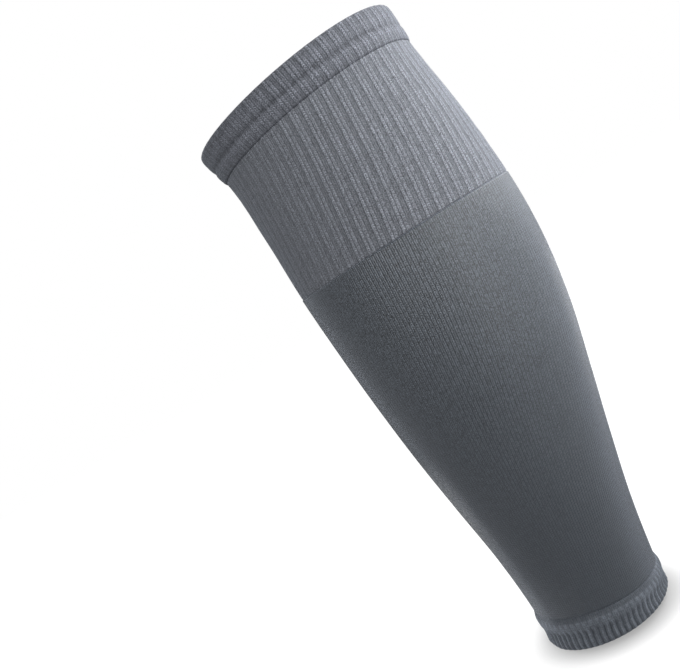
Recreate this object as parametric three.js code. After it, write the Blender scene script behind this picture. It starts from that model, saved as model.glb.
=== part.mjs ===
// Footless football sock in its worn form: a knitted tube for the lower leg, open at the
// knee and at the ankle. Millimetres, +Z up the leg, +X towards the calf, -X towards the
// shin. The origin is on the leg's axis, level with the lower edge of the ribbed cuff.
import * as THREE from 'three';

// Knitting: every wale (a column of stitches) comes from one needle.
const NEEDLES = 192;
const TWO_BY_ONE_RIB = [1, 1, 0]; // two raised wales, one sunk wale
const PLAIN_KNIT = [0];
const SLEEVE_COLUMNS = NEEDLES / 4; // facets round the smooth calf wall

// Knit thicknesses and the gap that neighbouring zones keep.
const SLEEVE_WALL = 1.2;
const CUFF_VALLEY = -0.5; // the cuff's sunk wales lie a little under the sleeve's face
const CUFF_RIB = 0.9;
const CUFF_INSIDE = -1.7;
const WELT_RIB = 0.7;
const HEM_RIB = 0.8;
const ZONE_GAP = 0.3;

// Heights of the lines between the zones.
const ANKLE_EDGE = -216;
const HEM_LINE = -199.5;
const CUFF_LINE = 0;
const WELT_LINE = 72;
const KNEE_EDGE = 89.5;
const HEM_TOP = HEM_LINE - ANKLE_EDGE - ZONE_GAP / 2; // over the ankle's edge

// Spans up each long wall.
const SLEEVE_SPANS = 10;
const CUFF_SPANS = 3;

// The stretched tube as oval sections, from the ankle up: height, centre towards the calf,
// half width (shin to calf), half depth (side to side) and the section's rise in degrees
// towards the calf.
const SECTIONS = [
  { height: ANKLE_EDGE, centre: -4.6, halfWidth: 32.3, halfDepth: 30.0, rise: 2.8 },
  { height: HEM_LINE, centre: -4.2, halfWidth: 33.3, halfDepth: 30.7, rise: -2.0 },
  { height: -166, centre: -3.3, halfWidth: 37.1, halfDepth: 34.5, rise: -1.6 },
  { height: -133, centre: -2.5, halfWidth: 43.0, halfDepth: 40.3, rise: -1.0 },
  { height: -100, centre: -1.2, halfWidth: 49.1, halfDepth: 46.2, rise: -0.3 },
  { height: -67, centre: 0.5, halfWidth: 54.5, halfDepth: 51.7, rise: 0.4 },
  { height: -33, centre: 1.1, halfWidth: 58.0, halfDepth: 55.1, rise: 1.2 },
  { height: CUFF_LINE, centre: 0.0, halfWidth: 59.0, halfDepth: 56.0, rise: 1.9 },
  { height: 36, centre: -2.6, halfWidth: 57.2, halfDepth: 54.6, rise: 4.3 },
  { height: WELT_LINE, centre: -7.1, halfWidth: 55.0, halfDepth: 53.4, rise: 6.6 },
  { height: KNEE_EDGE, centre: -9.7, halfWidth: 56.8, halfDepth: 57.0, rise: 7.6 },
];
const SECTION_COLUMNS = ['centre', 'halfWidth', 'halfDepth', 'rise'];
const CALF_FULLNESS = 0.06; // the oval is fuller towards the calf, leaner towards the shin

// Cut faces of the doubled edges, outside first and from low to high, then back down the
// inside: height over the zone's lower line, distance out from the section, and the share
// of the rib's height that shows there.
const WELT_LOOP = [
  { up: ZONE_GAP / 2, out: 0.0, relief: 0.5 },
  { up: 2.2, out: 0.5, relief: 1 },
  { up: 5.2, out: 0.1, relief: 0.8 },
  { up: 8.5, out: 0.7, relief: 1 },
  { up: 15.8, out: 0.6, relief: 1 },
  { up: KNEE_EDGE - WELT_LINE, out: -0.7, relief: 0.4 },
  { up: 15.8, out: -2.0, relief: 0 },
  { up: ZONE_GAP / 2, out: -1.8, relief: 0 },
];
const HEM_LOOP = [
  { up: 0, out: -0.2, relief: 0.4 },
  { up: 1.9, out: 1.1, relief: 1 },
  { up: 6.0, out: 0.9, relief: 1 },
  { up: 10.2, out: 0.7, relief: 0.6 },
  { up: 13.2, out: 2.0, relief: 0.2 },
  { up: HEM_TOP, out: 0.6, relief: 0 },
  { up: HEM_TOP, out: -SLEEVE_WALL, relief: 0 },
  { up: 0.6, out: -SLEEVE_WALL, relief: 0 },
];

const KNIT = {
  welt: { color: '#686c73', roughness: 0.92, metalness: 0 },
  cuff: { color: '#7b7f86', roughness: 0.9, metalness: 0 },
  sleeve: { color: '#63676d', roughness: 0.88, metalness: 0 },
  hem: { color: '#73777e', roughness: 0.92, metalness: 0 },
};

const leg = new THREE.CubicInterpolant(
  SECTIONS.map((section) => section.height),
  SECTIONS.flatMap((section) => SECTION_COLUMNS.map((column) => section[column])),
  SECTION_COLUMNS.length,
);

// A point of the knit at a height up the leg, an angle round it from the calf, and a
// distance out from the section there.
function knitPoint(height, angle, out) {
  const [centre, halfWidth, halfDepth, rise] = leg.evaluate(height);
  const across = (halfWidth + out) * Math.cos(angle);
  const fullness = 1 + CALF_FULLNESS * Math.cos(angle);
  const deep = (halfDepth + out) * fullness * Math.sin(angle);
  const lift = across * Math.tan(THREE.MathUtils.degToRad(rise));
  return [centre + across, deep, height + lift];
}

// Carries a wall's cut face round the leg, a column of points for each wale or facet, and
// raises the points by the rib's repeat. The loop's last point joins its first.
function knitTube({ name, columns, repeat, ribHeight, loop, finish }) {
  const positions = [];
  const triangles = [];
  for (let column = 0; column < columns; column += 1) {
    const angle = (column / columns) * 2 * Math.PI;
    const raised = repeat[column % repeat.length] * ribHeight;
    const here = column * loop.length;
    const beside = ((column + 1) % columns) * loop.length;
    for (const [point, { height, out, relief }] of loop.entries()) {
      positions.push(...knitPoint(height, angle, out + relief * raised));
      const next = (point + 1) % loop.length;
      triangles.push(here + point, beside + point, beside + next);
      triangles.push(here + point, beside + next, here + next);
    }
  }
  const geometry = new THREE.BufferGeometry();
  geometry.setAttribute('position', new THREE.Float32BufferAttribute(positions, 3));
  geometry.setIndex(triangles);
  geometry.computeVertexNormals();
  const mesh = new THREE.Mesh(geometry, new THREE.MeshStandardMaterial(finish));
  mesh.name = name;
  return mesh;
}

// The cut face of a plain wall between two lines, set back from both by half the gap.
function wallLoop({ low, high, spans, outside, inside }) {
  const bottom = low + ZONE_GAP / 2;
  const top = high - ZONE_GAP / 2;
  const heights = Array.from(
    { length: spans + 1 },
    (_, span) => THREE.MathUtils.lerp(bottom, top, span / spans),
  );
  const outer = heights.map((height) => ({ height, out: outside, relief: 1 }));
  const inner = heights.toReversed().map((height) => ({ height, out: inside, relief: 0 }));
  return [...outer, ...inner];
}

// The cut face of a doubled edge, with its heights counted from the zone's lower line.
function edgeLoop(lowerLine, rows) {
  return rows.map(({ up, out, relief }) => ({ height: lowerLine + up, out, relief }));
}

const sock = new THREE.Group();
sock.name = 'footless_football_sock';
sock.add(
  knitTube({
    name: 'top_welt',
    columns: NEEDLES,
    repeat: TWO_BY_ONE_RIB,
    ribHeight: WELT_RIB,
    loop: edgeLoop(WELT_LINE, WELT_LOOP),
    finish: KNIT.welt,
  }),
  knitTube({
    name: 'ribbed_cuff',
    columns: NEEDLES,
    repeat: TWO_BY_ONE_RIB,
    ribHeight: CUFF_RIB,
    loop: wallLoop({
      low: CUFF_LINE,
      high: WELT_LINE,
      spans: CUFF_SPANS,
      outside: CUFF_VALLEY,
      inside: CUFF_INSIDE,
    }),
    finish: KNIT.cuff,
  }),
  knitTube({
    name: 'calf_sleeve',
    columns: SLEEVE_COLUMNS,
    repeat: PLAIN_KNIT,
    ribHeight: 0,
    loop: wallLoop({
      low: HEM_LINE,
      high: CUFF_LINE,
      spans: SLEEVE_SPANS,
      outside: 0,
      inside: -SLEEVE_WALL,
    }),
    finish: KNIT.sleeve,
  }),
  knitTube({
    name: 'ankle_hem',
    columns: NEEDLES,
    repeat: TWO_BY_ONE_RIB,
    ribHeight: HEM_RIB,
    loop: edgeLoop(ANKLE_EDGE, HEM_LOOP),
    finish: KNIT.hem,
  }),
);

export default sock;
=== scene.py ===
"""Footless football sock: the looks of its knit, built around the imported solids.

A knitted tube for the lower leg in its worn form: a turned welt at the knee, a ribbed cuff, a
plain compression sleeve and a ribbed hem at the ankle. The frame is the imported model's, in
metres, with +Z up the leg and +X towards the calf. Sizes below are in millimetres.
"""
import logging
import math
from abc import ABC, abstractmethod
from dataclasses import astuple, dataclass
from enum import Enum
from typing import ClassVar

import bpy
import numpy as np
from mathutils import Matrix, Vector
from numpy.typing import NDArray


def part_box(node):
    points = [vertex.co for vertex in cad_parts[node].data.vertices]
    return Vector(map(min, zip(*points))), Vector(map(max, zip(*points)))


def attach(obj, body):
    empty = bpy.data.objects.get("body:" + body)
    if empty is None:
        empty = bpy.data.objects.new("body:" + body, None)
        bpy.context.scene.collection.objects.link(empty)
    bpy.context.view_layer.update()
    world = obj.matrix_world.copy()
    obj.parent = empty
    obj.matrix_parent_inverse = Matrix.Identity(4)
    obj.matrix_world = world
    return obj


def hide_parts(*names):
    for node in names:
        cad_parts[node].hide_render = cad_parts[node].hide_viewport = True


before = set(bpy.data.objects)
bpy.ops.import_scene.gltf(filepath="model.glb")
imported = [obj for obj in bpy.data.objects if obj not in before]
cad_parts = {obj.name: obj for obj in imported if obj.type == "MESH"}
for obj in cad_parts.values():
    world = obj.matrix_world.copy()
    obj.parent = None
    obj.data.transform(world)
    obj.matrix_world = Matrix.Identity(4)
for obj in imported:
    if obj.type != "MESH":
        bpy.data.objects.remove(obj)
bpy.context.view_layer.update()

Floats = NDArray[np.float64]
Colour = tuple[float, float, float, float]
Socket = bpy.types.NodeSocket

MM = 0.001
PHOTO_WIDTH = 680  # pixels
NEEDLES = 192  # wales (columns of stitches) in a full turn
ZONE_GAP = 0.08  # between neighbouring zones of the tube, which hug each other
LAP = 0.7  # the line between two zones lies this much higher inside, so no light shows through it

# Across a rib, in wales from the middle of a sunk wale.
FLANK_FOOT = 0.2  # the rib's flank rises from here
FLANK_WIDTH = 0.6
FINE_LINE = 0.25  # half width of the line that a sunk wale leaves where the knit is drawn flat

# Ends of a wall, which are tucked into the lines between the zones.
END_ROWS = np.array([0.0, 0.12, 0.28, 0.5, 0.75, 1.0, 1.4])  # rows of points, in tuck heights
TUCK_CURVE = 0.5  # power of the tuck's curve, which is steepest at the line
TUCKED_RELIEF = 0.5  # share of its relief that the knit loses there

HEIGHT_LIMITS = (0.0, 1.2)  # lowest and tallest loops, in shares of the knit's height
SWAY_SEED = 50  # added to a zone's seed for the wander of its wales

# Heights of the lines between the zones, from the lower line of the cuff.
ANKLE_EDGE = -216.0
HEM_LINE = -199.5
CUFF_LINE = 0.0
WELT_LINE = 72.0
KNEE_EDGE = 89.5
HEM_TOP = HEM_LINE - ANKLE_EDGE - ZONE_GAP / 2  # over the ankle's edge

# Blender's names of the node types that are used most.
MATH = "ShaderNodeMath"
VECTOR_MATH = "ShaderNodeVectorMath"
MAP_RANGE = "ShaderNodeMapRange"

log = logging.getLogger("sock")


def linear(hex_colour: str) -> Colour:
    """Turns an sRGB hex colour into a linear one.

    Args:
        hex_colour: Colour such as "#63676d".

    Returns:
        Linear red, green, blue and an alpha of one.
    """
    parts = [int(hex_colour[i:i + 2], 16) / 255 for i in (1, 3, 5)]
    red, green, blue = (p / 12.92 if p <= 0.04045 else ((p + 0.055) / 1.055) ** 2.4 for p in parts)
    return red, green, blue, 1.0


def add_node(
    tree: bpy.types.NodeTree, kind: str, inputs: dict[int | str, object] | None = None, **settings: object
) -> bpy.types.Node:
    """Adds a node with its settings, values and links.

    Args:
        tree: Node tree that gets the node.
        kind: Blender's name of the node's type.
        inputs: Value or source socket for each input, by its name or number.
        **settings: The node's own properties.

    Returns:
        The new node.
    """
    node = tree.nodes.new(kind)
    for name, value in settings.items():
        setattr(node, name, value)
    for key, value in (inputs or {}).items():
        if isinstance(value, Socket):
            tree.links.new(value, node.inputs[key])
        else:
            node.inputs[key].default_value = value
    return node


def ease(share: Floats) -> Floats:
    """Smooth step from 0 to 1 as the share goes from 0 to 1."""
    clipped = np.clip(share, 0.0, 1.0)
    return clipped * clipped * (3.0 - 2.0 * clipped)


def curve_through(at: Floats, values: Floats, wanted: Floats) -> Floats:
    """Follows a smooth curve through rows of values.

    Args:
        at: Rising places of the rows.
        values: A row of values for each place.
        wanted: Places to read the curve at, of any shape.

    Returns:
        The values there, with one more axis than the wanted places.
    """
    slopes = np.gradient(values, at, axis=0)
    row = np.clip(np.searchsorted(at, wanted) - 1, 0, len(at) - 2)
    span = (at[row + 1] - at[row])[..., None]
    t = (wanted - at[row])[..., None] / span
    return (
        (2 * t**3 - 3 * t**2 + 1) * values[row]
        + (t**3 - 2 * t**2 + t) * span * slopes[row]
        + (3 * t**2 - 2 * t**3) * values[row + 1]
        + (t**3 - t**2) * span * slopes[row + 1]
    )


def slow_waves(wale: Floats, height: Floats, seed: int, turns: int, length: float) -> Floats:
    """Gives the small unevenness of knit that was pulled on by hand, the same on each run.

    Args:
        wale: Places round the tube, in wales.
        height: Places up the tube.
        seed: Seed of the waves.
        turns: Most waves in a full turn.
        length: Shortest wave up the tube.

    Returns:
        Values about 0 with a spread of about 1.
    """
    dice = np.random.default_rng(seed)
    count = 9  # waves, each up to three times as long as the shortest
    total = np.zeros(np.broadcast(wale, height).shape)
    for _ in range(count):
        round_leg = dice.integers(1, turns + 1) * wale / NEEDLES
        up_leg = height / (length * dice.uniform(1.0, 3.0)) * dice.choice([-1.0, 1.0])
        total += np.sin(2 * math.pi * (round_leg + up_leg + dice.uniform()))
    return total / math.sqrt(count / 2)


@dataclass(frozen=True)
class Section:
    """An oval section of the stretched tube, with its rise towards the calf in degrees."""

    height: float
    centre: float
    half_width: float
    half_depth: float
    rise: float


@dataclass(frozen=True)
class WornForm:
    """The form that a leg gives the tube, and how the wales run up it."""

    sections: tuple[Section, ...] = (
        Section(ANKLE_EDGE, -4.6, 32.3, 30.0, 2.8),
        Section(HEM_LINE, -4.2, 33.3, 30.7, -2.0),
        Section(-166.0, -3.3, 37.1, 34.5, -1.6),
        Section(-133.0, -2.5, 43.0, 40.3, -1.0),
        Section(-100.0, -1.2, 49.1, 46.2, -0.3),
        Section(-67.0, 0.5, 54.5, 51.7, 0.4),
        Section(-33.0, 1.1, 58.0, 55.1, 1.2),
        Section(CUFF_LINE, 0.0, 59.0, 56.0, 1.9),
        Section(36.0, -2.3, 57.5, 54.6, 4.3),
        Section(WELT_LINE, -6.5, 55.6, 53.4, 6.6),
        Section(KNEE_EDGE, -9.6, 56.9, 57.0, 7.6),
    )
    calf_fullness: float = 0.06  # the oval is fuller towards the calf, leaner towards the shin
    cuff_twist: float = 0.085  # wales that the knit turns round the leg for each millimetre up
    sleeve_twist: float = 0.05
    front_spread: float = 0.04  # share by which the wales lie wider on the side that faces -Y
    hem_spread: float = 0.04  # at the hem, half the share by which they lie closer at both sides
    hem_reach: float = 100.0  # height over the hem where this has given way to the front's spread
    cuff_bow: float = 1.0  # the cuff's two lines ride up this far at the leg's sides
    bow_below: float = 60.0  # the bow dies out over this much of the sleeve
    bow_above: float = 12.0  # and of the welt, up to the knee's edge
    side_share: float = 0.4  # how much a wale at the leg's side counts as the shin's
    shin_rise: float = 0.7  # and how much that grows up to the shin
    shin_relief: float = 0.3  # share of its relief that the knit keeps where the shin draws it flat
    flat_until: float = -0.85  # cosine of the angle from the calf where it starts to regain relief
    flat_fade: float = 0.55  # and how much further on it has all of it
    opening: float = 2.2  # power by which the loops open as the leg stretches the girth

    def sizes(self, height: Floats) -> Floats:
        """Centre, half width, half depth and rise of the section at each height."""
        table = np.array([astuple(section) for section in self.sections])
        return curve_through(table[:, 0], table[:, 1:], height)

    def girth(self, height: Floats) -> Floats:
        """Distance round the tube at each height."""
        sizes = self.sizes(height)
        return math.pi * (sizes[..., 1] + sizes[..., 2])

    def openness(self, height: Floats) -> Floats:
        """How far the leg opens the loops at each height, 1 at the cuff's lower line."""
        return (self.girth(height) / self.girth(np.array(CUFF_LINE))) ** self.opening

    def shin_share(self, wale: Floats) -> Floats:
        """How near each wale lies to the shin, from 0 to 1 at the shin's edge."""
        return ease(self.side_share - self.shin_rise * np.cos(2 * math.pi * wale / NEEDLES))

    def relief_kept(self, wale: Floats) -> Floats:
        """Share of its relief that the knit keeps, less where it is drawn flat over the shin."""
        past_shin = (np.cos(2 * math.pi * wale / NEEDLES) - self.flat_until) / self.flat_fade
        return self.shin_relief + (1.0 - self.shin_relief) * ease(past_shin)

    def angle(self, wale: Floats, height: Floats) -> Floats:
        """Turns wales into angles round the leg.

        Args:
            wale: Places round the tube, in wales from the calf.
            height: Heights up the leg.

        Returns:
            Angles from the calf, in radians.
        """
        twist = self.cuff_twist * np.clip(height, CUFF_LINE, WELT_LINE)
        twist += self.sleeve_twist * np.clip(height, HEM_LINE, CUFF_LINE)
        even = 2 * math.pi * (wale + twist) / NEEDLES
        up_leg = ease((height - HEM_LINE) / self.hem_reach)
        spread = self.front_spread * up_leg * np.cos(even)
        return even + spread + self.hem_spread * (1.0 - up_leg) * np.sin(2 * even)

    def points(self, wale: Floats, height: Floats, out: Floats) -> Floats:
        """Places points of the knit.

        Args:
            wale: Places round the tube, in wales from the calf.
            height: Heights up the leg.
            out: Distances out from the section.

        Returns:
            Coordinates in millimetres, on one more axis than the given places.
        """
        centre, half_width, half_depth, rise = np.moveaxis(self.sizes(height), -1, 0)
        angle = self.angle(wale, height)
        across = (half_width + out) * np.cos(angle)
        deep = (half_depth + out) * (1 + self.calf_fullness * np.cos(angle)) * np.sin(angle)
        bow = self.cuff_bow * ease((height - CUFF_LINE + self.bow_below) / self.bow_below)
        bow *= ease((KNEE_EDGE - height) / self.bow_above)
        lift = across * np.tan(np.radians(rise)) + bow * np.sin(angle) ** 2
        return np.stack([centre + across, deep, height + lift], axis=-1)


class Repeat(Enum):
    """The knit's repeat round the tube, as the heights of its wales; a sunk wale has none."""

    PLAIN = (1.0,)
    TWO_BY_ONE = (1.0, 0.6, 0.0)

    def crest(self, wale: Floats) -> Floats:
        """Gives the share of the rib's height.

        Args:
            wale: Places round the tube, in wales.

        Returns:
            0 in a sunk wale and 1 on the raised wales, with soft flanks.
        """
        if self is Repeat.PLAIN:
            return np.ones_like(wale)
        return ease((self.from_sunk(wale) - FLANK_FOOT) / FLANK_WIDTH)

    def groove(self, wale: Floats) -> Floats:
        """Gives the fine line that a sunk wale leaves where the knit is drawn flat.

        Args:
            wale: Places round the tube, in wales.

        Returns:
            The line's depth, from 0 to 1.
        """
        if self is Repeat.PLAIN:
            return np.zeros_like(wale)
        return np.exp(-((self.from_sunk(wale) / FINE_LINE) ** 2))

    def from_sunk(self, wale: Floats) -> Floats:
        """Distance to the middle of the nearest sunk wale, in wales."""
        count = len(self.value)
        return np.abs((wale + 0.5 + count / 2) % count - count / 2)

    def cord(self, wale: Floats, sharpness: float) -> Floats:
        """Gives the rounded height of the single wales.

        Args:
            wale: Places round the tube, in wales.
            sharpness: 0.5 for round cords, more for narrow ridges.

        Returns:
            0 at the wales' borders, rising to each wale's height in its middle.
        """
        heights = np.array(self.value)[np.floor(wale).astype(int) % len(self.value)]
        return heights * (1.0 - (2.0 * (wale % 1.0) - 1.0) ** 2) ** sharpness


@dataclass(frozen=True)
class CutFace:
    """A wall's cut face as a closed loop of points: up the outside, then down the inside."""

    height: Floats
    out: Floats
    relief: Floats  # share of the knit's relief that shows
    tuck: Floats  # how far the wall may be drawn in at the zone's lines

    def along(self) -> Floats:
        """Measures along the loop.

        Returns:
            Distance to each point and, last, round to the first one.
        """
        up = np.diff(self.height, append=self.height[0])
        across = np.diff(self.out, append=self.out[0])
        return np.concatenate([[0.0], np.cumsum(np.hypot(up, across))])


@dataclass(frozen=True)
class KnitFinish:
    """Dyed polyamide and elastane yarn, knitted into fine loops on a circular machine.

    Matt filament loops give soft light without gloss, a faint pale sheen where the cloth turns
    away, darker hollows between the loops and a heathered grain from loop to loop; the knit's relief also
    holds painted shade in its hollows and painted light on its crests.
    """

    name: str
    yarn: str
    hollow: str
    course: float = 1.1  # a row of loops, about twice as high as the real ones so that it shows
    loop_depth: float = 0.2
    loop_slant: float = 0.8  # courses that a loop's legs rise from its border to its middle
    leg_gap: float = 0.2  # how much yarn shows in the line between a loop's two legs
    wale_gap: float = 0.5  # and in the line between two wales
    wale_fade: float = 0.25  # wales over which that line fades
    course_gap: float = 0.6  # and in the line between two courses
    relief_painted_shade: float = 0.2  # painted shade and light: darker in the knit's hollows, paler on its crests, as light falls on the relief
    girth_painted_light: float = 0.0  # painted light: paler where the tube is wider, up the calf, as the light falls off down the leg
    own_tone: float = 0.6  # height of crest, and openness, at which the yarn keeps its own tone
    heather: float = 0.4
    hollow_heather: float = 0.7  # share of the heather that shows in the hollows
    crest_heather: float = 0.5  # and how much more of it on the crests
    # Heathered stretches of yarn in a wale and in a course, coarser than the fibres so that they show.
    grain: tuple[float, float] = (6.0, 3.0)
    cloud: float = 0.02
    cloud_size: float = 24.0
    cloud_detail: float = 3.0
    roughness: float = 0.9
    hollow_rough: float = 0.06  # the hollows are rougher than that
    loop_smooth: float = 0.04  # and the backs of the loops smoother
    ior: float = 1.53  # polyamide
    gloss: float = 0.3
    sheen: float = 0.4
    sheen_roughness: float = 0.35
    sheen_tint: str = "#d6dfee"

    def loops(
        self, tree: bpy.types.NodeTree, wale: Socket, course: Socket, crest: Socket
    ) -> tuple[Socket, Socket]:
        """Draws each wale as a stack of V-shaped loops: two legs that slant up to its middle.

        Args:
            tree: The finish's node tree.
            wale: Place round the tube, in wales.
            course: Place along the wall, in courses.
            crest: Share of the knit's height.

        Returns:
            How much yarn shows, and the place along the slanting legs in courses.
        """
        round_turn = add_node(tree, MATH, {0: wale, 1: 2.0 * math.pi}, operation="MULTIPLY").outputs[0]
        leg_wave = add_node(tree, MATH, {0: round_turn}, operation="SINE").outputs[0]
        across = add_node(tree, MATH, {0: leg_wave}, operation="ABSOLUTE").outputs[0]
        legs = add_node(tree, MAP_RANGE, {"Value": across, "To Min": self.leg_gap}).outputs[0]
        inward = add_node(tree, MATH, {0: wale, 1: 0.5}, operation="PINGPONG").outputs[0]
        beside = {"Value": inward, "From Max": self.wale_fade, "To Min": self.wale_gap}
        border = add_node(tree, MAP_RANGE, beside).outputs[0]
        slant = {0: inward, 1: -2.0 * self.loop_slant, 2: course}
        rise = add_node(tree, MATH, slant, operation="MULTIPLY_ADD").outputs[0]
        up_turn = add_node(tree, MATH, {0: rise, 1: math.pi}, operation="MULTIPLY").outputs[0]
        up_wave = add_node(tree, MATH, {0: up_turn}, operation="SINE").outputs[0]
        along = add_node(tree, MATH, {0: up_wave}, operation="ABSOLUTE").outputs[0]
        mean = 2.0 / math.pi  # of that wave; the hollows show no rows and keep it
        off_row = add_node(tree, MATH, {0: along, 1: mean}, operation="SUBTRACT").outputs[0]
        raised_row = add_node(tree, MATH, {0: off_row, 1: crest}, operation="MULTIPLY").outputs[0]
        depth = 1.0 - self.course_gap
        level = {0: raised_row, 1: depth, 2: self.course_gap + depth * mean}
        rows = add_node(tree, MATH, level, operation="MULTIPLY_ADD").outputs[0]
        lines = add_node(tree, MATH, {0: legs, 1: border}, operation="MULTIPLY").outputs[0]
        return add_node(tree, MATH, {0: lines, 1: rows}, operation="MULTIPLY").outputs[0], rise

    def tone(
        self, tree: bpy.types.NodeTree, wale: Socket, rise: Socket, crest: Socket, openness: Socket
    ) -> Socket:
        """Heathers the yarn, as each stretch of filament takes dye its own way, and paints light and
        shade on it.

        Args:
            tree: The finish's node tree.
            wale: Place round the tube, in wales.
            rise: Place along the loops' legs, in courses.
            crest: Share of the knit's height.
            openness: How far the leg opens the loops.

        Returns:
            The factor on the yarn's colour.
        """
        fine = add_node(tree, "ShaderNodeCombineXYZ", {0: wale, 1: rise}).outputs[0]
        stretches = {0: fine, 1: (*self.grain, 1.0)}
        split = add_node(tree, VECTOR_MATH, stretches, operation="MULTIPLY").outputs[0]
        whole = add_node(tree, VECTOR_MATH, {0: split}, operation="FLOOR").outputs[0]
        specks = add_node(tree, "ShaderNodeTexWhiteNoise", {"Vector": whole}, noise_dimensions="2D")
        off_mean = add_node(tree, MATH, {0: specks.outputs[0], 1: 0.5}, operation="SUBTRACT").outputs[0]
        opened = add_node(tree, MATH, {0: off_mean, 1: openness}, operation="MULTIPLY").outputs[0]
        shown = {0: crest, 1: self.crest_heather, 2: self.hollow_heather}
        share = add_node(tree, MATH, shown, operation="MULTIPLY_ADD").outputs[0]
        sparkle = add_node(tree, MATH, {0: opened, 1: share}, operation="MULTIPLY").outputs[0]
        ground = 1.0 - self.cloud - self.own_tone * self.relief_painted_shade
        heathered = {0: sparkle, 1: 2.0 * self.heather, 2: ground}
        grain = add_node(tree, MATH, heathered, operation="MULTIPLY_ADD").outputs[0]
        spot = add_node(tree, "ShaderNodeTexCoord").outputs["Object"]
        drift = {"Vector": spot, "Scale": 1.0 / (self.cloud_size * MM), "Detail": self.cloud_detail}
        cloud = add_node(tree, "ShaderNodeTexNoise", drift).outputs[0]
        cloudy = {0: cloud, 1: 2.0 * self.cloud, 2: grain}
        clouded = add_node(tree, MATH, cloudy, operation="MULTIPLY_ADD").outputs[0]
        # Painted shade in the hollows and painted light on the crests, by the knit's height.
        relief_light_and_shade = {0: crest, 1: self.relief_painted_shade, 2: clouded}
        shade = add_node(tree, MATH, relief_light_and_shade, operation="MULTIPLY_ADD").outputs[0]
        # Painted light: paler up the calf, where the tube is wider.
        stretched = {0: openness, 1: self.girth_painted_light, 2: 1.0 - self.own_tone * self.girth_painted_light}
        pale = add_node(tree, MATH, stretched, operation="MULTIPLY_ADD").outputs[0]
        return add_node(tree, MATH, {0: shade, 1: pale}, operation="MULTIPLY").outputs[0]

    def material(self) -> bpy.types.Material:
        """Builds the finish from the loops that the mesh counts round and along its wall.

        Returns:
            The material, reading the mesh's "knit" attribute: wale, course, crest and openness.
        """
        material = bpy.data.materials.new(self.name)
        material.use_nodes = True
        tree = material.node_tree
        tree.nodes.clear()
        knit = add_node(tree, "ShaderNodeAttribute", attribute_name="knit")
        place = add_node(tree, "ShaderNodeSeparateXYZ", {0: knit.outputs["Vector"]})
        wale, course, crest = place.outputs
        loop, rise = self.loops(tree, wale, course, crest)
        tone = self.tone(tree, wale, rise, crest, knit.outputs["Alpha"])
        mixed = {"Factor": loop, 6: linear(self.hollow), 7: linear(self.yarn)}
        colour = add_node(tree, "ShaderNodeMix", mixed, data_type="RGBA").outputs[2]
        dyed = add_node(tree, VECTOR_MATH, {0: colour, "Scale": tone}, operation="SCALE").outputs[0]
        roughest = min(1.0, self.roughness + self.hollow_rough)
        worn = {"Value": loop, "To Min": roughest, "To Max": self.roughness - self.loop_smooth}
        fibre = add_node(tree, MAP_RANGE, worn).outputs[0]
        raised = {"Strength": 1.0, "Distance": self.loop_depth * MM, "Height": loop}
        bump = add_node(tree, "ShaderNodeBump", raised).outputs[0]
        surface = add_node(
            tree,
            "ShaderNodeBsdfPrincipled",
            {
                "Base Color": dyed,
                "Roughness": fibre,
                "Normal": bump,
                "IOR": self.ior,
                "Specular IOR Level": self.gloss,
                "Sheen Weight": self.sheen,
                "Sheen Roughness": self.sheen_roughness,
                "Sheen Tint": linear(self.sheen_tint),
            },
        )
        add_node(tree, "ShaderNodeOutputMaterial", {"Surface": surface.outputs[0]})
        return material


@dataclass(frozen=True)
class RibFinish(KnitFinish):
    """The yarn knitted as rib: pale heathered cords with darker lines between them, partly painted light
    and shade, quite matt.
    """

    relief_painted_shade: float = 0.42
    leg_gap: float = 0.7
    course_gap: float = 0.2
    heather: float = 0.52


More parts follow.
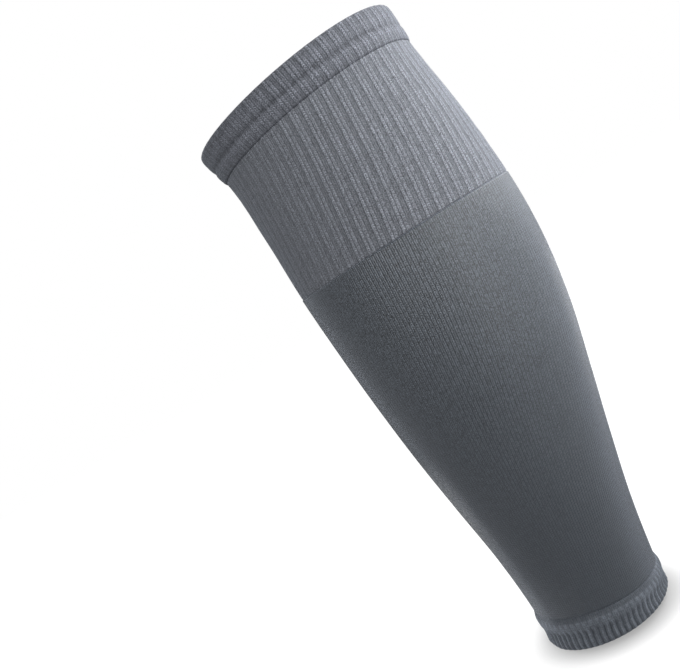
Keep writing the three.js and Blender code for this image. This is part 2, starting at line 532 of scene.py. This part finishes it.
@dataclass
class KnitTube(ABC):
    """One zone of the tube: a closed wall of knit carried round the leg."""

    node: ClassVar[str]
    piece: ClassVar[str]
    slot: ClassVar[str]
    repeat: ClassVar[Repeat]

    form: WornForm
    finish: KnitFinish
    low: float
    high: float
    knit_height: float = 0.2  # from the hollows to the crests of the knit
    wale_share: float = 1.0  # the part of it that single wales take; ribs take the rest
    sharpness: float = 0.5  # of the single wales: 0.5 for round cords, more for narrow ridges
    flat_level: float = 0.5  # share of the knit's height that it settles to where it is drawn flat
    line_depth: float = 0.5  # depth of the sunk wales' lines there, which the finish also paints in shade
    unevenness: float = 0.08
    uneven_turns: int = 60  # most higher stretches in a full turn
    uneven_length: float = 25.0  # shortest stretch of wale that stands higher or lower
    wander: float = 0.04  # how far the wales stray to either side, in wales
    wander_turns: int = 24
    wander_length: float = 40.0
    edge_tuck: float = 0.15  # share of the tucks at shin and calf, where they would notch the outline
    points_per_wale: int = 6
    row_step: float = 1.6
    stretch: float = 1.15  # worn girth over the girth that it was knitted to
    seed: int = 1

    @abstractmethod
    def cut_face(self) -> CutFace:
        """Draws the wall's cut face."""

    def uneven(self, wale: Floats, face: CutFace) -> Floats:
        """Factor on the knit's height, as some stretches of wale stand higher than others."""
        waves = slow_waves(wale, face.height, self.seed, self.uneven_turns, self.uneven_length)
        return 1.0 + self.unevenness * waves

    def relief(self, wale: Floats, face: CutFace) -> Floats:
        """Gives the knit's own relief: rounded wales on ribs, with sunk wales between them.

        Args:
            wale: Places round the tube, in wales.
            face: The wall's cut face.

        Returns:
            Share of the knit's height, from 0 in the hollows to 1 on the crests.
        """
        cord = self.repeat.cord(wale, self.sharpness)
        ribs = (1.0 - self.wale_share) * self.repeat.crest(wale)
        share = self.uneven(wale, face) * (ribs + self.wale_share * cord)
        kept = self.form.relief_kept(wale)
        line = self.line_depth * (1.0 - kept) * self.repeat.groove(wale)
        return np.clip(self.flat_level + kept * (share - self.flat_level) - line, *HEIGHT_LIMITS)

    def drawn_in(self, wale: Floats, face: CutFace) -> Floats:
        """How far the wall is drawn in at its lines, most where the leg's sides face out."""
        side = np.sin(2 * math.pi * wale / NEEDLES) ** 2
        return face.tuck * (self.edge_tuck + (1.0 - self.edge_tuck) * side)

    def sway(self, wale: Floats, face: CutFace) -> Floats:
        """Small wander of the wales to either side, in wales."""
        seed = self.seed + SWAY_SEED
        return self.wander * slow_waves(wale, face.height, seed, self.wander_turns, self.wander_length)

    def build(self) -> bpy.types.Object:
        """Makes the wall's mesh, with its loops counted for the finish and unrolled for its UVs.

        Returns:
            The new piece, in the frame's metres.
        """
        face = self.cut_face()
        columns = NEEDLES * self.points_per_wale
        rows = len(face.height)
        wale = np.arange(columns)[:, None] / self.points_per_wale
        share = self.relief(wale, face)
        out = face.out + self.knit_height * face.relief * share - self.drawn_in(wale, face)
        height = np.broadcast_to(face.height, out.shape)
        points = self.form.points(wale + self.sway(wale, face), height, out) * MM

        column = np.arange(columns)[:, None]
        row = np.arange(rows)[None, :]
        beside = (column + 1) % columns
        above = (row + 1) % rows
        here, there = column * rows, beside * rows
        faces = np.stack([here + row, there + row, there + above, here + above], axis=-1)
        mesh = bpy.data.meshes.new(self.piece)
        mesh.from_pydata(points.reshape(-1, 3).tolist(), [], faces.reshape(-1, 4).tolist())
        mesh.shade_smooth()

        along = face.along()
        corner_wale = (column[..., None] + np.array([0, 1, 1, 0])) / self.points_per_wale
        corner_wale = np.broadcast_to(corner_wale, faces.shape)
        corner_along = np.stack([along[:-1], along[:-1], along[1:], along[1:]], axis=-1)
        corner_along = np.broadcast_to(corner_along, faces.shape)
        # The relief's share goes to the finish as its crest, where it paints shade into the hollows and
        # light onto the crests.
        crest = share.reshape(-1)[faces]
        openness = np.broadcast_to(self.form.openness(face.height), out.shape)
        knit = np.stack(
            [corner_wale, corner_along / self.finish.course, crest, openness.reshape(-1)[faces]], axis=-1
        )
        layer = mesh.attributes.new("knit", "FLOAT_COLOR", "CORNER")
        layer.data.foreach_set("color", knit.reshape(-1))
        unrolled = np.stack([corner_wale / NEEDLES, corner_along / along[-1]], axis=-1)
        mesh.uv_layers.new(name="OFBake").data.foreach_set("uv", unrolled.reshape(-1))

        piece = bpy.data.objects.new(self.piece, mesh)
        bpy.context.scene.collection.objects.link(piece)
        return piece

    def dress(self, piece: bpy.types.Object) -> None:
        """Gives the piece its finish, hangs it from the root body and hides its solid.

        Args:
            piece: The piece as it was built.
        """
        piece.data.materials.append(self.finish.material())
        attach(piece, "root")
        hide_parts(self.node)
        girth = float(self.form.girth(np.array((self.low + self.high) / 2)))

    def make(self) -> bpy.types.Object:
        """Builds and dresses the piece.

        Returns:
            The finished piece.
        """
        piece = self.build()
        self.dress(piece)
        return piece

    def past_solid(self, piece: bpy.types.Object) -> Floats:
        """Compares the piece's box with its solid's.

        Args:
            piece: The finished piece.

        Returns:
            How far it reaches past the solid in millimetres, at the three low and the three high sides.
        """
        corners = np.array([vertex.co for vertex in piece.data.vertices])
        solid_low, solid_high = (np.array(corner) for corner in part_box(self.node))
        past = np.concatenate([solid_low - corners.min(axis=0), corners.max(axis=0) - solid_high]) / MM
        return past.round(2)


@dataclass
class SingleWall(KnitTube):
    """A zone of single knit, whose outer face dips into the lines at its two ends."""

    outside: float = 0.0  # distance of the outer face out of the section
    inside: float = 0.0  # and of the inner face
    inner_step: float = 8.0
    tucks: tuple[float, float] = (0.0, 0.0)  # how far the outer face dips at its lower and upper end
    tuck_height: float = 1.0  # height over which it dips

    def cut_face(self) -> CutFace:
        """Draws the wall's cut face, with closer rows where it dips.

        Returns:
            The cut face.
        """
        low, high = self.low + ZONE_GAP / 2, self.high - ZONE_GAP / 2
        fine = self.tuck_height * END_ROWS
        spans = max(2, round((high - low - 2 * fine[-1]) / self.row_step))
        middle = np.linspace(low + fine[-1], high - fine[-1], spans + 1)
        outer = np.concatenate([low + fine[:-1], middle, high - fine[-2::-1]])
        inner = np.linspace(high, low, max(3, round((high - low) / self.inner_step))) + LAP
        from_end = np.minimum(outer - low, high - outer) / self.tuck_height
        dip = 1.0 - ease(from_end) ** TUCK_CURVE
        tuck = np.where(outer - low < high - outer, *self.tucks)
        return CutFace(
            np.concatenate([outer, inner]),
            np.concatenate([np.full_like(outer, self.outside), np.full_like(inner, self.inside)]),
            np.concatenate([1.0 - TUCKED_RELIEF * dip, np.zeros_like(inner)]),
            np.concatenate([tuck * dip, np.zeros_like(inner)]),
        )


@dataclass
class DoubledEdge(KnitTube):
    """An edge of doubled knit, whose cut face is a smooth curve through key rows."""

    # Height over the zone's lower line, distance out, share of relief and tuck of each row.
    keys: tuple[tuple[float, ...], ...] = ()
    crest_limits: tuple[float, float] = (0.0, 1.3)  # lowest and tallest loops, as HEIGHT_LIMITS

    def cut_face(self) -> CutFace:
        """Draws the edge's cut face, in even steps along the curve.

        Returns:
            The cut face.
        """
        table = np.array(self.keys)
        steps = np.hypot(np.diff(table[:, 0]), np.diff(table[:, 1]))
        at = np.concatenate([[0.0], np.cumsum(steps)])
        places = np.linspace(0.0, at[-1], round(at[-1] / self.row_step) + 1)
        up, out, relief, tuck = curve_through(at, table, places).T
        return CutFace(self.low + up, out, np.clip(relief, 0.0, 1.0), np.clip(tuck, 0.0, None))


@dataclass
class TopWelt(DoubledEdge):
    """The turned welt: knit doubled over at the knee, in two soft rolls with a groove between them."""

    node: ClassVar[str] = "top_welt"
    piece: ClassVar[str] = "welt_knit"
    slot: ClassVar[str] = "welt_rib"
    repeat: ClassVar[Repeat] = Repeat.TWO_BY_ONE

    # Knit folded double lies thick and close: fine cords, paled by painted light, on a rather dark
    # ground.
    finish: KnitFinish = RibFinish("polyamide_doubled_rib_knit", yarn="#7e818a", hollow="#45484d")
    low: float = WELT_LINE
    high: float = KNEE_EDGE
    knit_height: float = 0.3
    wale_share: float = 0.65
    sharpness: float = 4.0
    unevenness: float = 0.2
    uneven_length: float = 8.0
    row_step: float = 0.7
    seed: int = 11
    edge_tuck: float = 0.2
    lip_up: float = 4.8  # the lower roll, over the lower line
    lip_width: float = 1.7
    lip_height: float = 0.3
    roll_lift_and_light: float = 0.68  # how far it lifts the crests, in shares of the knit's height, which also paints the rolls paler as painted light
    fold_up: float = 11.2  # the upper roll, under the fold
    fold_width: float = 2.4
    fold_share: float = 0.6  # its height beside the lip's
    groove_up: float = 7.5
    groove_width: float = 0.9
    groove_depth: float = 0.5
    groove_sink_and_shade: float = 0.6  # how far it sinks the crests, which also paints the groove in painted shade
    calf_share: float = 0.65  # share of the rolls and of the groove that is left at the calf
    line_share: float = 0.65  # and of the tuck at the lower line
    crest_limits: tuple[float, float] = (-0.3, 1.3)
    keys: tuple[tuple[float, ...], ...] = (
        (ZONE_GAP / 2, -0.2, 0.4, 0.5),
        (0.7, 0.0, 0.8, 0.15),
        (2.2, 0.15, 1.0, 0.0),
        (5.2, 0.2, 1.0, 0.0),
        (9.0, 0.3, 1.0, 0.0),
        (12.5, 0.35, 1.0, 0.0),
        (15.8, 0.25, 1.0, 0.0),
        (17.2, -0.25, 0.8, 0.0),
        (17.5, -0.9, 0.5, 0.0),
        (17.0, -1.7, 0.2, 0.0),
        (15.5, -2.0, 0.0, 0.0),
        (8.0, -1.9, 0.0, 0.0),
        (ZONE_GAP / 2 + LAP, -1.8, 0.0, 0.0),
    )

    def rolls_and_groove(self, wale: Floats, face: CutFace) -> tuple[Floats, Floats]:
        """Shares of the two rolls and of the groove between them, less towards the calf.

        Args:
            wale: Places round the tube, in wales.
            face: The wall's cut face.

        Returns:
            The rolls' and the groove's share, from 0 to 1.
        """
        clear = self.calf_share + (1.0 - self.calf_share) * self.form.shin_share(wale)
        up = face.height - WELT_LINE
        lip = np.exp(-(((up - self.lip_up) / self.lip_width) ** 2))
        fold = np.exp(-(((up - self.fold_up) / self.fold_width) ** 2))
        groove = np.exp(-(((up - self.groove_up) / self.groove_width) ** 2))
        return clear * face.relief * (lip + self.fold_share * fold), clear * face.relief * groove

    def relief(self, wale: Floats, face: CutFace) -> Floats:
        """Lowers the knit in the groove and raises it on the rolls, which paints shade into the groove
        and light onto the rolls.

        Args:
            wale: Places round the tube, in wales.
            face: The wall's cut face.

        Returns:
            Share of the knit's height, 0 in the hollows and 1 on the crests, and past both here.
        """
        rolls, groove = self.rolls_and_groove(wale, face)
        lifted = super().relief(wale, face) + self.roll_lift_and_light * rolls - self.groove_sink_and_shade * groove
        return np.clip(lifted, *self.crest_limits)

    def drawn_in(self, wale: Floats, face: CutFace) -> Floats:
        """Draws in the lower line, most at the shin, and the groove; pushes out the rolls.

        Args:
            wale: Places round the tube, in wales.
            face: The wall's cut face.

        Returns:
            Distance in from the cut face.
        """
        rolls, groove = self.rolls_and_groove(wale, face)
        side = self.edge_tuck + (1.0 - self.edge_tuck) * np.sin(2 * math.pi * wale / NEEDLES) ** 2
        line = face.tuck * (self.line_share + (1.0 - self.line_share) * self.form.shin_share(wale))
        return side * (line + self.groove_depth * groove - self.lip_height * rolls)


@dataclass
class RibbedCuff(SingleWall):
    """The cuff under the welt: pairs of raised wales with a sunk wale between them."""

    node: ClassVar[str] = "ribbed_cuff"
    piece: ClassVar[str] = "cuff_knit"
    slot: ClassVar[str] = "cuff_rib"
    repeat: ClassVar[Repeat] = Repeat.TWO_BY_ONE

    # Single rib that the leg draws open: the palest knit of the sock, with clear cords.
    finish: KnitFinish = RibFinish("polyamide_two_by_one_rib_knit", yarn="#8a8e96", hollow="#505258")
    low: float = CUFF_LINE
    high: float = WELT_LINE
    knit_height: float = 0.32
    wale_share: float = 0.6
    sharpness: float = 4.0
    unevenness: float = 0.12
    uneven_length: float = 7.0
    seed: int = 23
    outside: float = -0.6
    inside: float = -1.7
    tucks: tuple[float, float] = (0.5, 0.1)  # at the sleeve and at the welt
    tuck_height: float = 1.2

    def relief(self, wale: Floats, face: CutFace) -> Floats:
        """Lets the ribs die down in the tucked lines and paints shade into them."""
        return super().relief(wale, face) - face.tuck


@dataclass
class CalfSleeve(SingleWall):
    """The compression sleeve: fine plain knit over the calf down to the ankle."""

    node: ClassVar[str] = "calf_sleeve"
    piece: ClassVar[str] = "sleeve_knit"
    slot: ClassVar[str] = "plain_knit"
    repeat: ClassVar[Repeat] = Repeat.PLAIN

    # Fine taut filament knit: a dark smooth face with a satin light along the calf.
    finish: KnitFinish = KnitFinish(
        "polyamide_plain_compression_knit",
        yarn="#595f67",
        hollow="#31363c",
        relief_painted_shade=0.05,
        leg_gap=0.4,
        wale_gap=0.4,
        heather=0.6,
        grain=(5.0, 2.5),
        girth_painted_light=0.05,
        roughness=0.5,
        gloss=0.8,
        sheen=0.5,
    )
    low: float = HEM_LINE
    high: float = CUFF_LINE
    knit_height: float = 0.07
    points_per_wale: int = 4
    row_step: float = 2.6
    seed: int = 37
    outside: float = -0.1
    inside: float = -1.2
    tucks: tuple[float, float] = (0.35, 0.2)  # at the hem and at the cuff
    tuck_height: float = 0.45


@dataclass
class AnkleHem(DoubledEdge):
    """The hem at the ankle: a stitched roll over short soft ribs that wave a little."""

    node: ClassVar[str] = "ankle_hem"
    piece: ClassVar[str] = "hem_knit"
    slot: ClassVar[str] = "hem_rib"
    repeat: ClassVar[Repeat] = Repeat.TWO_BY_ONE

    # Slack hem knit: soft knobbly ridges with painted shade in their dark hollows and a mottled grain.
    finish: KnitFinish = KnitFinish(
        "polyamide_stitched_hem_rib_knit",
        yarn="#777d86",
        hollow="#42474d",
        relief_painted_shade=0.58,
        heather=0.9,
        grain=(2.5, 2.0),
        sheen=0.5,
    )
    low: float = ANKLE_EDGE
    high: float = HEM_LINE
    knit_height: float = 0.7
    unevenness: float = 0.1
    uneven_length: float = 12.0
    wander: float = 0.06
    wander_turns: int = 30
    wander_length: float = 14.0
    points_per_wale: int = 5
    row_step: float = 0.6
    seed: int = 53
    rib_wave: float = 0.8  # wales that the ribs sway to the side
    wave_from: float = 0.45  # share of the height under the roll where the sway starts
    wave_rise: float = 0.6
    roll_low: float = 9.0  # the stitched roll's rows are counted from here, over the ankle's edge
    stitch_rows: float = 1.7  # height of one row of its stitches
    roll_from: float = 8.4  # the ribs give way to it from here up
    roll_rise: float = 1.6
    roll_ground: float = 0.42  # shares of the knit's height that its ground takes,
    roll_ridge: float = 0.42  # the ridges that run on over it
    roll_knob: float = 0.4  # and its knobbly stitches
    calf_from: float = 0.45  # cosine of the angle from the calf where the hem's calf end starts
    calf_rise: float = 0.4
    calf_ribs: float = 0.8  # share of the roll that the ribs run through there
    shade_sink_from: float = 13.4  # the roll sinks towards its seam from here up, in painted shade, but for that end
    shade_sink_rise: float = 1.4
    seam_up: float = 15.2  # a row of small stitches sews the roll down, one to each wale
    seam_width: float = 0.6
    seam_stitch: float = 0.2  # their height
    calf_stitch: float = 0.5  # and how much taller they stand at the calf
    keys: tuple[tuple[float, ...], ...] = (
        (0.0, -0.6, 0.0, 0.0),
        (0.45, 0.1, 0.45, 0.0),
        (1.6, 0.55, 1.0, 0.0),
        (5.6, 0.3, 1.0, 0.0),
        (7.8, 0.25, 0.9, 0.0),
        (9.1, 0.6, 0.7, 0.0),
        (11.0, 1.0, 0.55, 0.0),
        (13.3, 0.95, 0.45, 0.0),
        (15.2, 0.5, 0.35, 0.0),
        (16.3, 0.0, 0.2, 0.0),
        (HEM_TOP, -0.4, 0.1, 0.0),
        (HEM_TOP + LAP, -1.2, 0.0, 0.0),
        (8.0, -1.3, 0.0, 0.0),
        (0.6, -1.2, 0.0, 0.0),
    )

    def relief(self, wale: Floats, face: CutFace) -> Floats:
        """Raises one soft ridge for each repeat, which ends in knobbly rows of stitches on the roll.

        Args:
            wale: Places round the tube, in wales.
            face: The wall's cut face.

        Returns:
            Share of the knit's height, from 0 in the hollows to 1 on the crests.
        """
        up = face.height - ANKLE_EDGE
        turn = math.pi * wale / len(self.repeat.value)
        ridge = np.sin(turn) ** 2
        row = (up - self.roll_low) / self.stitch_rows
        aside = 0.5 * math.pi * np.floor(row)  # every other row lies half a ridge to the side
        knob = np.abs(np.sin(turn + aside)) * np.sqrt(np.abs(np.sin(math.pi * row)))
        calf = ease((np.cos(self.form.angle(wale, face.height)) - self.calf_from) / self.calf_rise)
        roll = (1.0 - self.calf_ribs * calf) * ease((up - self.roll_from) / self.roll_rise)
        # The roll's shares also pale its knit, as painted light on the roll.
        stitched = self.roll_ground + self.roll_ridge * ridge + self.roll_knob * knob
        knit = self.uneven(wale, face) * ((1.0 - roll) * ridge + roll * stitched)
        # Painted shade: the roll's top lies darker towards its seam, but for the calf end.
        sunk = (1.0 - calf) * ease((up - self.shade_sink_from) / self.shade_sink_rise)
        seam = np.exp(-(((up - self.seam_up) / self.seam_width) ** 2)) * np.abs(np.sin(math.pi * wale))
        stitches = (self.seam_stitch + self.calf_stitch * calf) * seam
        return np.clip((1.0 - sunk) * knit + stitches, *self.crest_limits)

    def sway(self, wale: Floats, face: CutFace) -> Floats:
        """Bends the ribs into a shallow S below the roll.

        Args:
            wale: Places round the tube, in wales.
            face: The wall's cut face.

        Returns:
            How far each place strays to the side, in wales.
        """
        up = (face.height - ANKLE_EDGE) / self.roll_low
        bend = self.rib_wave * ease((up - self.wave_from) / self.wave_rise)
        return bend + super().sway(wale, face)


@dataclass(frozen=True)
class Lamp:
    """A square soft lamp: where it hangs, the point that it faces, its side, watts and spread."""

    name: str
    place: tuple[float, float, float]
    aim: tuple[float, float, float]
    size: float
    power: float
    spread: float = 180.0  # degrees

    def hang(self) -> None:
        """Adds the lamp to the scene."""
        data = bpy.data.lights.new(self.name, "AREA")
        data.shape = "SQUARE"
        data.size = self.size * MM
        data.energy = self.power
        data.spread = math.radians(self.spread)
        lamp = bpy.data.objects.new(self.name, data)
        facing = (Vector(self.aim) - Vector(self.place)).to_track_quat("-Z", "Y").to_matrix().to_4x4()
        lamp.matrix_world = Matrix.Translation(Vector(self.place) * MM) @ facing
        lamp.visible_camera = False
        bpy.context.scene.collection.objects.link(lamp)


@dataclass
class Studio:
    """A pale floor, soft light and the camera at the photograph's viewing angle."""

    eye: tuple[float, float, float] = (-51.5, -420.0, 1.1)
    aim: tuple[float, float, float] = (-51.5, 0.0, -25.9)
    roll: float = 30.5  # degrees
    focal: float = 848.4  # pixels
    sensor: float = 36.0
    clip: tuple[float, float] = (0.01, 100.0)  # metres
    floor_height: float = -218.0
    floor_size: float = 8000.0
    paper: str = "#909090"  # a dull face keeps the lamps off the floor: its own glow makes it white
    painted_shadow_centre: float = -3.6
    painted_shadow_from: float = 28.0  # painted shadow on the paper: its glow dims here, under the hem,
    painted_shadow_to: float = 48.0  # is nearly gone here
    painted_shadow_end: float = 144.0  # and leaves plain white from here
    near_glow: float = 0.35  # the paper's own light under the hem
    edge_glow: float = 0.85  # and where the shade is nearly gone
    white: str = "#ffffff"
    front_light: float = 0.114  # light of the walls in front of the sock
    back_light: float = 0.402  # and behind it
    front_until: float = -0.6  # direction's part along +Y where the front's light starts to grow
    back_from: float = 0.5  # and where it is the back's
    lamps: tuple[Lamp, ...] = (
        Lamp("front_lamp", (-50.0, -900.0, 100.0), (0.0, 0.0, -50.0), 700.0, 3.65),
        Lamp("upper_front_lamp", (-20.0, -450.0, 200.0), (0.0, -50.0, -10.0), 250.0, 0.605),
        Lamp("near_calf_lamp", (230.0, -160.0, 120.0), (0.0, 0.0, 0.0), 150.0, 0.44),
        Lamp("cuff_lamp", (270.0, 0.0, 120.0), (0.0, 0.0, 40.0), 200.0, 0.75),
        Lamp("calf_side_lamp", (450.0, 450.0, 100.0), (0.0, 0.0, -50.0), 500.0, 0.49),
        Lamp("low_calf_lamp", (350.0, -250.0, -150.0), (20.0, -20.0, -150.0), 200.0, 0.37),
        Lamp("ankle_lamp", (200.0, 250.0, -150.0), (20.0, 0.0, -180.0), 150.0, 0.08, 60.0),
        Lamp("hem_lamp", (-230.0, 60.0, -206.0), (-38.0, 0.0, -214.0), 20.0, 0.003, 24.0),
        Lamp("shin_lamp", (-170.0, 200.0, -195.0), (-38.0, 0.0, -212.0), 45.0, 0.03, 45.0),
    )

    def camera(self) -> None:
        """Sets up the camera, rolled so that the leg leans across the picture."""
        data = bpy.data.cameras.new("camera")
        data.sensor_fit = "HORIZONTAL"
        data.sensor_width = self.sensor
        data.lens = self.sensor * self.focal / PHOTO_WIDTH
        data.clip_start, data.clip_end = self.clip
        forward = (Vector(self.aim) - Vector(self.eye)).normalized()
        level = Vector((1.0, 0.0, 0.0))
        upright = level.cross(forward)
        turn = math.radians(self.roll)
        right = math.cos(turn) * level - math.sin(turn) * upright
        up = math.sin(turn) * level + math.cos(turn) * upright
        camera = bpy.data.objects.new("camera", data)
        facing = Matrix((right, up, -forward)).transposed().to_4x4()
        camera.matrix_world = Matrix.Translation(Vector(self.eye) * MM) @ facing
        bpy.context.scene.collection.objects.link(camera)
        bpy.context.scene.camera = camera

    def floor(self) -> None:
        """Lays the pale floor under the hem: paper that glows white, dimmed under the hem into a painted
        soft shadow.
        """
        half = self.floor_size / 2 * MM
        mesh = bpy.data.meshes.new("floor")
        corners = [(-half, -half, 0.0), (half, -half, 0.0), (half, half, 0.0), (-half, half, 0.0)]
        mesh.from_pydata(corners, [], [(0, 1, 2, 3)])
        floor = bpy.data.objects.new("floor", mesh)
        floor.location = Vector((self.painted_shadow_centre, 0.0, self.floor_height)) * MM
        bpy.context.scene.collection.objects.link(floor)
        paper = bpy.data.materials.new("backlit_white_paper")
        paper.use_nodes = True
        tree = paper.node_tree
        tree.nodes.clear()
        spot = add_node(tree, "ShaderNodeTexCoord").outputs["Object"]
        away = add_node(tree, VECTOR_MATH, {0: spot}, operation="LENGTH").outputs["Value"]
        # Painted shadow: the glow is dimmed under the hem and rises to white away from it.
        close = {
            "Value": away,
            "From Min": self.painted_shadow_from * MM,
            "From Max": self.painted_shadow_to * MM,
            "To Min": self.near_glow,
            "To Max": self.edge_glow,
        }
        near = add_node(tree, MAP_RANGE, close, interpolation_type="SMOOTHSTEP").outputs[0]
        wide = {
            "Value": away,
            "From Min": self.painted_shadow_from * MM,
            "From Max": self.painted_shadow_end * MM,
            "To Max": 1.0 - self.edge_glow,
        }
        far = add_node(tree, MAP_RANGE, wide).outputs[0]
        glow = add_node(tree, MATH, {0: near, 1: far}, operation="ADD").outputs[0]
        surface = add_node(
            tree,
            "ShaderNodeBsdfPrincipled",
            {
                "Base Color": linear(self.paper),
                "Roughness": 1.0,
                "Specular IOR Level": 0.0,
                "Emission Color": linear(self.white),
                "Emission Strength": glow,
            },
        ).outputs[0]
        add_node(tree, "ShaderNodeOutputMaterial", {"Surface": surface})
        mesh.materials.append(paper)
        floor.visible_diffuse = floor.visible_glossy = False  # its glow does not light the knit

    def world(self) -> None:
        """Surrounds the sock with white walls that are brighter behind it than in front."""
        world = bpy.data.worlds.new("white_studio")
        world.use_nodes = True
        tree = world.node_tree
        tree.nodes.clear()
        ray = add_node(tree, "ShaderNodeTexCoord").outputs["Generated"]
        towards = add_node(tree, "ShaderNodeSeparateXYZ", {0: ray}).outputs
        turned = {
            "Value": towards[1],
            "From Min": self.front_until,
            "From Max": self.back_from,
            "To Min": self.front_light,
            "To Max": self.back_light,
        }
        behind = add_node(tree, MAP_RANGE, turned, interpolation_type="SMOOTHSTEP").outputs[0]
        seen = add_node(tree, "ShaderNodeLightPath").outputs["Is Camera Ray"]
        lit = {"Factor": seen, 2: behind, 3: 1.0}  # the camera sees plain white
        strength = add_node(tree, "ShaderNodeMix", lit, data_type="FLOAT").outputs[0]
        walls = {"Color": linear(self.white), "Strength": strength}
        back = add_node(tree, "ShaderNodeBackground", walls).outputs[0]
        add_node(tree, "ShaderNodeOutputWorld", {"Surface": back})
        bpy.context.scene.world = world

    def build(self) -> None:
        """Sets up the camera, the floor and the light."""
        self.camera()
        self.floor()
        self.world()
        for lamp in self.lamps:
            lamp.hang()
        bpy.context.scene.view_settings.view_transform = "Standard"


def main() -> None:
    """Builds the studio and the sock's zones from the knee down, and reports each piece."""
    logging.basicConfig(level=logging.INFO, format="%(name)s: %(message)s")
    Studio().build()
    form = WornForm()
    zones: list[KnitTube] = [TopWelt(form), RibbedCuff(form), CalfSleeve(form), AnkleHem(form)]
    for zone in zones:
        piece = zone.make()
        count = len(piece.data.polygons)
        log.info("%s: %d faces, past its solid by %s mm", piece.name, count, zone.past_solid(piece))


if __name__ == "__main__":
    main()
